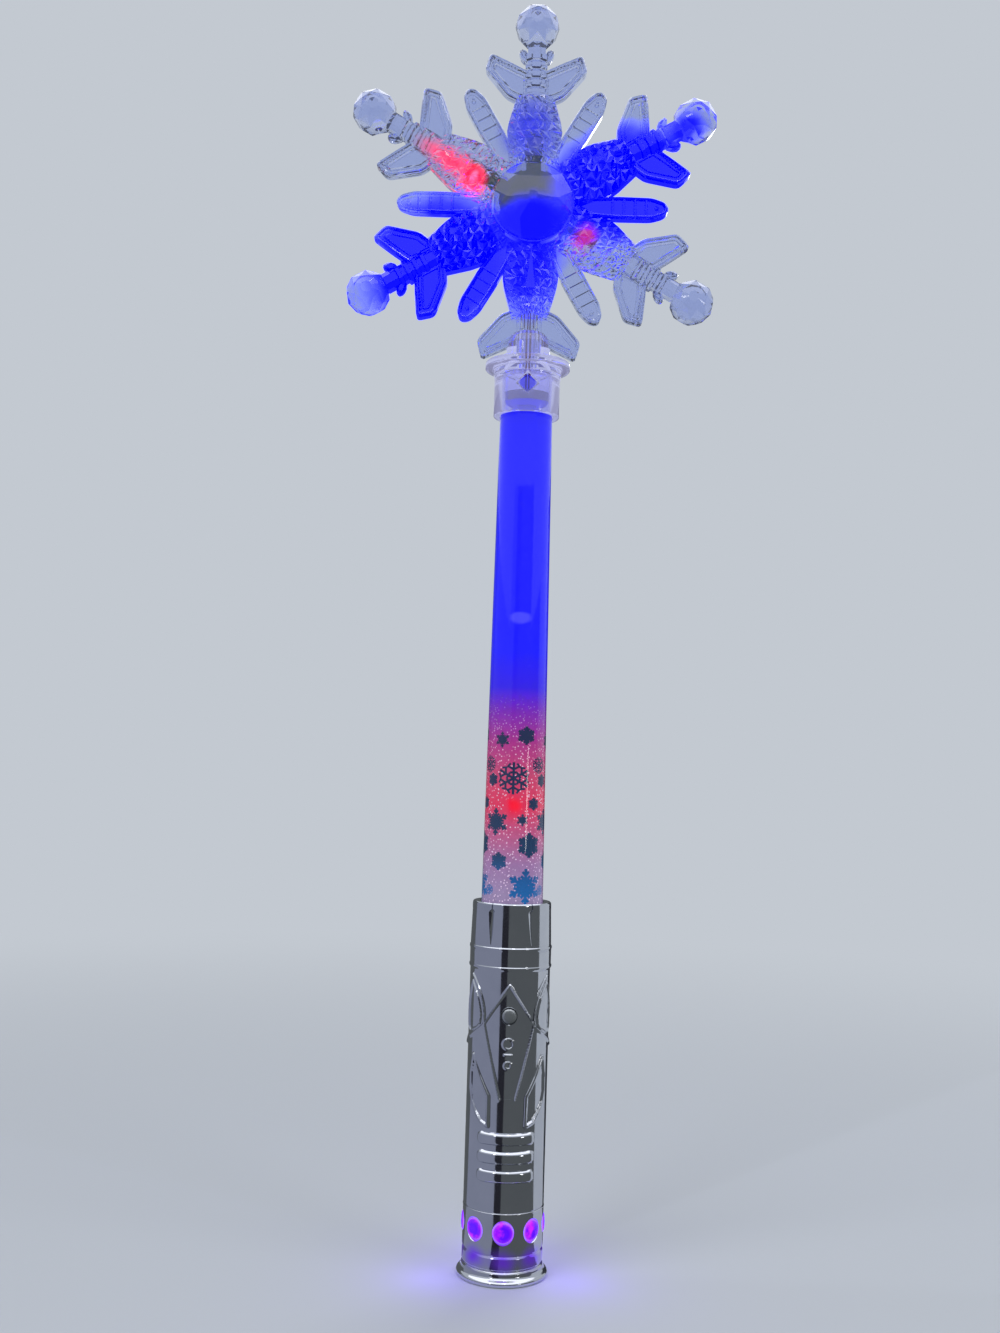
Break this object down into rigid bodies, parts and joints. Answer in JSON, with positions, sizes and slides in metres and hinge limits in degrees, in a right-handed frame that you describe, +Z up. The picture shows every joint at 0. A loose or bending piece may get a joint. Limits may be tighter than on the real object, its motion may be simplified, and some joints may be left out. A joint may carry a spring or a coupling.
{
  "type": "toy magic wand",
  "caption": "Light-up toy wand: chrome handle with a button and jewel windows, tapered lit tube with a printed film, clear neck and a faceted snowflake head.",
  "frame": {"origin": "centre of the foot flange's underside", "axes": "+Z up along the wand to the snowflake, -Y to the front with the button, +X to the right"},
  "size_m": [0.1236, 0.0294, 0.4219],
  "materials": {
    "chrome_abs": "vacuum-plated chrome on moulded plastic",
    "zinc_steel": "zinc-plated",
    "violet_clear": "clear violet moulding",
    "green_laminate": "solder mask",
    "lamp_package": "moulded lamp",
    "tube_lamp_package": "moulded lamp",
    "head_lamp_package": "moulded lamp",
    "enamelled_copper": "enamelled wire",
    "red_pvc": "insulated wire",
    "grey_abs": "moulded",
    "cell_sleeve": "shrink sleeve",
    "nickel_spring": "nickel-plated",
    "black_epoxy": "moulded",
    "plunger_plastic": "moulded",
    "white_abs": "moulded",
    "white_laminate": "white solder mask",
    "printed_pet": "printed film with glitter",
    "tube_acrylic": "clear extruded tube",
    "neck_styrene": "clear moulding",
    "snow_styrene": "clear faceted moulding",
    "gem_styrene": "clear faceted moulding"
  },
  "bodies": {
    "wand": {"front_shell": "chrome_abs", "rear_shell": "chrome_abs", "window_band": "chrome_abs", "base_cap": "chrome_abs", "shell_screws": "zinc_steel", "jewel_ring": "violet_clear", "base_board": "green_laminate", "main_board": "green_laminate", "head_board": "green_laminate", "base_lamps": "lamp_package", "strip_lamps": "tube_lamp_package", "head_lamps": "head_lamp_package", "base_leads": "enamelled_copper", "battery_leads": "red_pvc", "strip_leads": "red_pvc", "head_leads": "red_pvc", "battery_tray": "grey_abs", "battery_cells": "cell_sleeve", "battery_springs": "nickel_spring", "battery_contacts": "nickel_spring", "control_chip": "black_epoxy", "key_switch": "black_epoxy", "strip_holder": "white_abs", "strip_guide": "white_abs", "lamp_strip": "white_laminate", "printed_film": "printed_pet", "light_tube": "tube_acrylic", "neck_collar": "neck_styrene", "snowflake_front": "snow_styrene", "snowflake_back": "snow_styrene", "hub_gem_front": "gem_styrene", "hub_gem_back": "gem_styrene"},
    "button": {"push_button": "chrome_abs"},
    "plunger": {"switch_plunger": "plunger_plastic"},
    "door": {"battery_door": "chrome_abs"},
    "door_fastener": {"door_screw": "zinc_steel"}
  },
  "joints": [
    {"name": "button_press", "type": "slide", "parent": "wand", "child": "button", "axis": [0, 1, 0], "range_m": [0, 0.001], "stiffness_N_per_m": 400, "springref_m": -0.0005},
    {"name": "plunger_press", "type": "slide", "parent": "wand", "child": "plunger", "axis": [0, 1, 0], "range_m": [0, 0.001]},
    {"name": "door_swing", "type": "hinge", "parent": "wand", "child": "door", "pos_m": [0, 0.013, 0.0275], "axis": [-1, 0, 0], "range_deg": [0, 50]},
    {"name": "door_screw_turn", "type": "hinge", "parent": "door", "child": "door_fastener", "pos_m": [0, 0.012, 0.075], "axis": [0, 1, 0], "continuous": true}
  ],
  "couplings": [
    {"joint": "plunger_press", "follows": "button_press", "ratio": 1}
  ]
}
